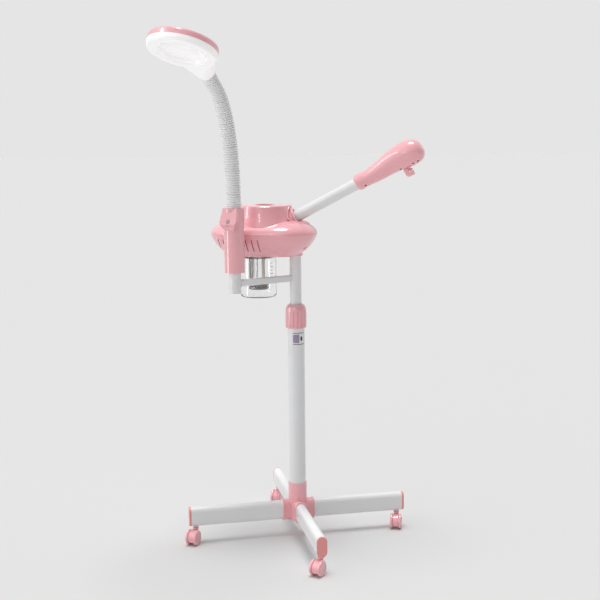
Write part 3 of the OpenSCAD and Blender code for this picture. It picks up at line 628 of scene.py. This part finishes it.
# the shell's rim around the arm: radius of the rim, of its bead, and the rays that find the shell
ARM_LIP_R = 0.0300
ARM_BEAD_R = 0.0028
ARM_LIP_POINTS = 60
ARM_RAY_START = 0.07
ARM_RAY_LENGTH = 0.11
ARM_LIP_SMOOTHING = 6
BOLT_REACH = 0.062
BOLT_RISE = 0.006
# radius and height of the bolt's head, from its foot to its top
BOLT = [(0.0046, -0.0008), (0.0046, 0.0010), (0.0040, 0.0018), (0.0026, 0.0024), (0.0010, 0.0026)]
DASH_BELOW = 0.0098
DASH_HALF = 0.0032
DASH_R = 0.0011
DASH_POINTS = 32
DASH_RAY_START = 0.03
# share of the dash's full size and height over the panel, from its foot to its top
DASH = ((1.0, -0.0006), (1.0, 0.0003), (0.86, 0.0006))


def lip(name, path, outward, axis, radius, body):
    """A round pink bead along a closed path."""
    rings = [circle_ring(p, out, axis, radius, count=14) for p, out in zip(path, outward)]
    bead = rings_object(name, rings, "pink_plastic", closed=True)
    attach(bead, body)


def leg_direction(i):
    along = joint_pos(f"caster_{i}_swivel") - COLUMN
    along.z = 0
    return along.normalized()


def make_hub_lips():
    """A rim around the mouth of each of the hub's four sockets."""
    low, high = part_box("leg_1")
    mid_z = (low.z + high.z) / 2
    half_h = (high.z - low.z) / 2 + HUB_WALL
    half_w = LEG_WIDTH / 2 + HUB_WALL
    for i in range(1, 5):
        along = leg_direction(i)
        side = UP.cross(along)
        centre = COLUMN + along * (HUB_REACH - HUB_LIP_R) + UP * mid_z
        path, outward = [], []
        for k in range(HUB_LIP_POINTS):
            a = 2 * math.pi * (k + 0.5) / HUB_LIP_POINTS
            out = side * math.cos(a) + UP * math.sin(a)
            path.append(centre + out * half_w + UP * math.copysign(half_h - half_w, math.sin(a)))
            outward.append(out)
        lip(f"hub_lip_{i}", path, outward, along, HUB_LIP_R, "stand")


def make_arm_lip():
    """A raised rim on the shell around the arm's socket; it follows the shell's surface."""
    tree = BVHTree.FromObject(nodes["upper_shell"], bpy.context.evaluated_depsgraph_get())
    count = ARM_LIP_POINTS
    outs = [arm_up * math.cos(a) + arm_side * math.sin(a)
            for a in (2 * math.pi * k / count for k in range(count))]
    depth = []
    for out in outs:
        start = ARM_ORIGIN + out * ARM_LIP_R + arm_dir * ARM_RAY_START
        hit = tree.ray_cast(start, -arm_dir, ARM_RAY_LENGTH)[0]
        depth.append((hit - ARM_ORIGIN).dot(arm_dir) if hit else None)
    known = [d for d in depth if d is not None]
    depth = [min(known) if d is None else d for d in depth]
    for _ in range(ARM_LIP_SMOOTHING):
        depth = [(depth[k - 1] + 2 * depth[k] + depth[(k + 1) % count]) / 4 for k in range(count)]
    path = [ARM_ORIGIN + out * ARM_LIP_R + arm_dir * d for out, d in zip(outs, depth)]
    lip("arm_lip", path, outs, arm_dir, ARM_BEAD_R, body_of["upper_shell"])


def make_leg_bolt():
    """A domed bolt on the side of the leg that points to the front."""
    i = min(range(1, 5), key=lambda n: leg_direction(n).y)
    along = leg_direction(i)
    low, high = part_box(f"leg_{i}")
    side = along.cross(UP)
    rise = Vector((0, 0, (low.z + high.z) / 2 + BOLT_RISE))
    centre = COLUMN + along * BOLT_REACH + side * (LEG_WIDTH / 2) + rise
    rings = [circle_ring(centre + side * h, along, side.cross(along), r, count=24) for r, h in BOLT]
    bolt = rings_object("leg_bolt", rings, "steel", caps=True, sharp=40)
    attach(bolt, "stand")


def make_panel_mark():
    """A short raised dash under the light's push button."""
    out = joint_axis("light_button_press")
    low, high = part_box("light_switch")
    button = (low + high) / 2
    if out.dot(button - Vector((pivots[0].x, pivots[0].y, button.z))) < 0:
        out = -out
    across = UP.cross(out).normalized()
    down = across.cross(out).normalized()
    if down.z > 0:
        down = -down
    tree = BVHTree.FromObject(nodes["lamp_sleeve"], bpy.context.evaluated_depsgraph_get())
    start = button + down * DASH_BELOW + out * DASH_RAY_START
    hit = tree.ray_cast(start, -out, 2 * DASH_RAY_START)[0]
    rings = []
    for grow, h in DASH:
        ring = []
        for k in range(DASH_POINTS):
            a = 2 * math.pi * k / DASH_POINTS
            reach = DASH_R * math.cos(a) + math.copysign(DASH_HALF, math.cos(a))
            ring.append(hit + out * h + across * grow * reach + down * grow * DASH_R * math.sin(a))
        rings.append(ring)
    mark = rings_object("panel_mark", rings, "grey_plastic", caps=True, sharp=40)
    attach(mark, body_of["lamp_sleeve"])


make_hub_lips()
make_arm_lip()
make_leg_bolt()
make_panel_mark()

# ---- lamp boss ----

LAMP_R = 0.0785
# height of the seam between the lamp's two rings over the LED ring's middle
SEAM_RISE = 0.0087
# the boss's edge along the lamp's ring: its thickness, how far in and how far down it lies
EDGE_R = 0.0064
EDGE_IN = 0.0066
EDGE_DROP = 0.0070
EDGE_STEPS = 7
EDGE_STEP = 5  # degrees
# the ball around the gooseneck's end
BALL_R = 0.0215
BALL_RINGS = 12
BOSS_VOXEL = 0.0016
BOSS_SMOOTHING = 6


def ring_frame():
    """The lamp ring's middle, its direction away from the neck and its up, from the LED ring."""
    low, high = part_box("led_ring")
    centre = (low + high) / 2
    away_flat = bend_axis.cross(UP)
    verts = nodes["led_ring"].data.vertices
    far = max((v.co for v in verts), key=lambda c: (c - centre).dot(away_flat))
    if (neck_end - centre).dot(away_flat) > 0:
        far = min((v.co for v in verts), key=lambda c: (c - centre).dot(away_flat))
    away = far - centre
    away -= bend_axis * away.dot(bend_axis)
    away.normalize()
    up = away.cross(bend_axis)
    return centre, away, -up if up.z < 0 else up


def boss_points():
    """Points on the boss's edge along the ring, and on the ball around the gooseneck's end."""
    centre, away, up = ring_frame()
    seam = centre + up * SEAM_RISE
    side = up.cross(away)
    points = []
    for k in range(-EDGE_STEPS, EDGE_STEPS + 1):
        turn = math.pi + math.radians(EDGE_STEP * k)
        out = away * math.cos(turn) + side * math.sin(turn)
        place = seam + out * (LAMP_R - EDGE_IN) - up * EDGE_DROP
        points += circle_ring(place, out, up, EDGE_R, count=16)
    along = link_dirs[-1]
    for i in range(1, BALL_RINGS):
        lat = math.pi * i / BALL_RINGS
        points += circle_ring(neck_end + along * (BALL_R * math.cos(lat)), bend_axis,
                              along.cross(bend_axis), BALL_R * math.sin(lat), count=24)
    return points


def make_lamp_boss():
    """The drop-shaped blend between the ring and the gooseneck's end."""
    bm = bmesh.new()
    for p in boss_points():
        bm.verts.new(p)
    hull = bmesh.ops.convex_hull(bm, input=bm.verts)
    left_over = hull["geom_interior"] + hull["geom_unused"]
    inside = {v for v in left_over if isinstance(v, bmesh.types.BMVert)}
    bmesh.ops.delete(bm, geom=list(inside), context="VERTS")
    mesh = bpy.data.meshes.new("lamp_boss")
    bm.to_mesh(mesh)
    bm.free()
    boss = bpy.data.objects.new("lamp_boss", mesh)
    bpy.context.scene.collection.objects.link(boss)
    remesh = boss.modifiers.new("remesh", "REMESH")
    remesh.mode = "VOXEL"
    remesh.voxel_size = BOSS_VOXEL
    smooth = boss.modifiers.new("smooth", "SMOOTH")
    smooth.factor = 0.5
    smooth.iterations = BOSS_SMOOTHING
    bpy.context.view_layer.update()
    done = bpy.data.meshes.new_from_object(boss.evaluated_get(bpy.context.evaluated_depsgraph_get()))
    boss.modifiers.clear()
    boss.data = done
    done.materials.clear()
    # the boss's white carries the housing's painted glow
    done.materials.append(MATS["lamp_white_painted_glow"])
    for poly in done.polygons:
        poly.use_smooth = True
    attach(boss, "neck_6")


make_lamp_boss()
